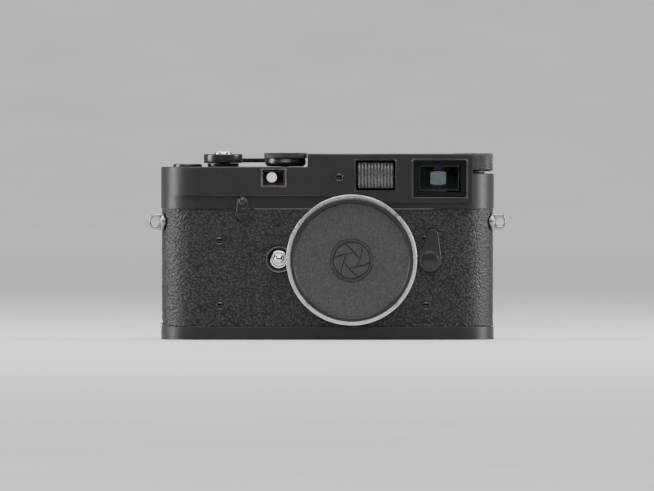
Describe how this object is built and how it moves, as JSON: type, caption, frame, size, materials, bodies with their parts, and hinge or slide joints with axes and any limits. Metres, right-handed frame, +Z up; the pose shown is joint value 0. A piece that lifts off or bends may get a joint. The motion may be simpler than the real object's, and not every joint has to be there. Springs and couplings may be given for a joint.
{
  "type": "rangefinder camera",
  "caption": "Compact 35 mm film rangefinder camera with rounded ends, stepped top cover, window band, bayonet mount with body cap, advance lever, dials and hinged back.",
  "frame": {"origin": "on the base plate's underside, below the middle of the whole object", "axes": "+X to the right as seen from the front, +Z up, and the lens side faces -Y"},
  "size_m": [0.1478, 0.0406, 0.0782],
  "materials": {
    "black_paint": "satin black paint with slight wear",
    "covering": "grained black leatherette",
    "shell_metal": "dark anodised casting",
    "silver": "satin chrome",
    "steel": "brushed",
    "aluminium": "matt casting",
    "brass": "machined",
    "black_metal": "satin black enamel",
    "curtain_cloth": "rubberised black cloth",
    "glass": "clear",
    "dark_glass": "coated",
    "frosted_glass": "frosted and ribbed",
    "cap_plastic": "fine grain",
    "black_plastic": "matt",
    "white_dial": "matt white"
  },
  "bodies": {
    "camera": {"body_shell": "shell_metal", "front_covering": "covering", "film_chassis": "aluminium", "film_rails": "steel", "shutter_crate": "black_metal", "shutter_curtain": "curtain_cloth", "curtain_drums": "brass", "lens_mount_ring": "silver", "mount_screws": "steel", "top_cover": "black_paint", "finder_block": "aluminium", "finder_prism": "glass", "range_prism": "glass", "viewfinder_bezel": "black_paint", "viewfinder_glass": "dark_glass", "illumination_bezel": "black_paint", "illumination_glass": "frosted_glass", "rangefinder_bezel": "black_paint", "rangefinder_glass": "dark_glass", "eyepiece_ring": "black_metal", "eyepiece_lens": "glass", "accessory_shoe": "steel", "shoe_contact": "brass", "shoe_screws": "steel", "strap_lug_left": "silver", "strap_lug_right": "silver", "front_screws": "black_metal", "band_screw": "black_paint", "lens_release_guard": "black_paint", "gear_plate": "brass", "counter_window": "glass", "hub_collar": "black_paint", "rewind_collar": "black_paint", "flash_socket": "steel", "door_hinge_pin": "steel", "base_catch_pin": "silver", "base_catch_hook": "steel"},
    "advance_lever": {"advance_lever": "black_paint"},
    "release_button": {"release_button": "silver"},
    "shutter_dial": {"shutter_dial": "black_paint"},
    "counter_disc": {"counter_disc": "white_dial"},
    "takeup_spool": {"takeup_spool": "black_plastic"},
    "film_sprocket": {"film_sprocket": "steel"},
    "rewind_shaft": {"rewind_shaft": "steel"},
    "rewind_knob": {"rewind_knob": "black_paint"},
    "rewind_fork": {"rewind_fork": "steel"},
    "reverse_lever": {"reverse_lever": "black_paint"},
    "frame_selector": {"frame_selector": "black_paint"},
    "lens_release_button": {"lens_release_button": "silver"},
    "rangefinder_arm": {"rangefinder_arm": "brass"},
    "rangefinder_roller": {"rangefinder_roller": "steel"},
    "body_cap": {"body_cap": "cap_plastic"},
    "base_plate": {"base_plate": "black_paint", "tripod_socket": "steel"},
    "base_key": {"base_key_hub": "steel"},
    "base_key_ring": {"base_key_ring": "silver"},
    "rear_door": {"rear_door": "shell_metal", "door_covering": "covering", "pressure_plate": "black_metal"},
    "film_speed_dial": {"film_speed_dial": "steel"}
  },
  "joints": [
    {"name": "advance_stroke", "type": "hinge", "parent": "camera", "child": "advance_lever", "pos_m": [-0.04325, 0.0017, 0.074], "axis": [0, 0, 1], "range_deg": [0, 160], "stiffness_Nm_per_rad": 0.01, "springref_deg": -22.92},
    {"name": "release_press", "type": "slide", "parent": "camera", "child": "release_button", "axis": [0, 0, -1], "range_m": [0, 0.0019], "stiffness_N_per_m": 500, "springref_m": -0.001},
    {"name": "shutter_dial_turn", "type": "hinge", "parent": "camera", "child": "shutter_dial", "pos_m": [-0.0174, 0.0002, 0.074], "axis": [0, 0, 1], "range_deg": [-150, 150]},
    {"name": "counter_turn", "type": "hinge", "parent": "camera", "child": "counter_disc", "pos_m": [-0.056, 0.0047, 0.0695], "axis": [0, 0, 1], "range_deg": [0, 9]},
    {"name": "takeup_turn", "type": "hinge", "parent": "camera", "child": "takeup_spool", "pos_m": [-0.0535, 0.0017, 0.03], "axis": [0, 0, 1], "range_deg": [-309, 0]},
    {"name": "sprocket_turn", "type": "hinge", "parent": "camera", "child": "film_sprocket", "pos_m": [-0.03425, 0.00545, 0.03], "axis": [0, 0, 1], "range_deg": [-360.5, 0]},
    {"name": "rewind_turn", "type": "hinge", "parent": "camera", "child": "rewind_shaft", "pos_m": [0.0602, 0.0017, 0.07], "axis": [0, 0, 1], "continuous": true},
    {"name": "knob_lift", "type": "slide", "parent": "rewind_shaft", "child": "rewind_knob", "axis": [0, 0, 1], "range_m": [0, 0.004]},
    {"name": "fork_turn", "type": "hinge", "parent": "camera", "child": "rewind_fork", "pos_m": [0.0535, 0.0017, 0.05], "axis": [0, 0, 1], "continuous": true},
    {"name": "reverse_swing", "type": "hinge", "parent": "camera", "child": "reverse_lever", "pos_m": [-0.0352, -0.0148, 0.0525], "axis": [0, 1, 0], "range_deg": [0, 70]},
    {"name": "selector_swing", "type": "hinge", "parent": "camera", "child": "frame_selector", "pos_m": [0.0423, -0.0148, 0.0329], "axis": [0, 1, 0], "range_deg": [-20, 20], "stiffness_Nm_per_rad": 0.02},
    {"name": "lens_release_press", "type": "slide", "parent": "camera", "child": "lens_release_button", "axis": [0, 1, 0], "range_m": [0, 0.0015], "stiffness_N_per_m": 800, "springref_m": -0.001},
    {"name": "rangefinder_swing", "type": "hinge", "parent": "camera", "child": "rangefinder_arm", "pos_m": [-0.016, -0.0053, 0.05], "axis": [0, 0, 1], "range_deg": [0, 6], "stiffness_Nm_per_rad": 0.02, "springref_deg": -2.86},
    {"name": "roller_turn", "type": "hinge", "parent": "rangefinder_arm", "child": "rangefinder_roller", "pos_m": [0.01, -0.0083, 0.0508], "axis": [0, 0, 1], "continuous": true},
    {"name": "cap_pull", "type": "slide", "parent": "camera", "child": "body_cap", "axis": [0, -1, 0], "range_m": [0, 0.03]},
    {"name": "base_swing", "type": "hinge", "parent": "camera", "child": "base_plate", "pos_m": [-0.06875, 0.0017, 0.0045], "axis": [0, 1, 0], "range_deg": [0, 35]},
    {"name": "key_turn", "type": "hinge", "parent": "base_plate", "child": "base_key", "pos_m": [0.0535, 0.0017, 0.001], "axis": [0, 0, 1], "range_deg": [0, 180]},
    {"name": "key_ring_fold", "type": "hinge", "parent": "base_key", "child": "base_key_ring", "pos_m": [0.0535, 0.0017, 0.00065], "axis": [-1, 0, 0], "range_deg": [0, 90]},
    {"name": "door_swing", "type": "hinge", "parent": "camera", "child": "rear_door", "pos_m": [0.003, 0.0159, 0.0522], "axis": [1, 0, 0], "range_deg": [0, 95]},
    {"name": "film_speed_turn", "type": "hinge", "parent": "rear_door", "child": "film_speed_dial", "pos_m": [0.01, 0.0177, 0.031], "axis": [0, 1, 0], "continuous": true}
  ],
  "couplings": [
    {"joint": "counter_turn", "follows": "advance_stroke", "ratio": 0.05625},
    {"joint": "takeup_turn", "follows": "advance_stroke", "ratio": -1.9286},
    {"joint": "sprocket_turn", "follows": "advance_stroke", "ratio": -2.25},
    {"joint": "fork_turn", "follows": "rewind_turn", "ratio": -1}
  ]
}
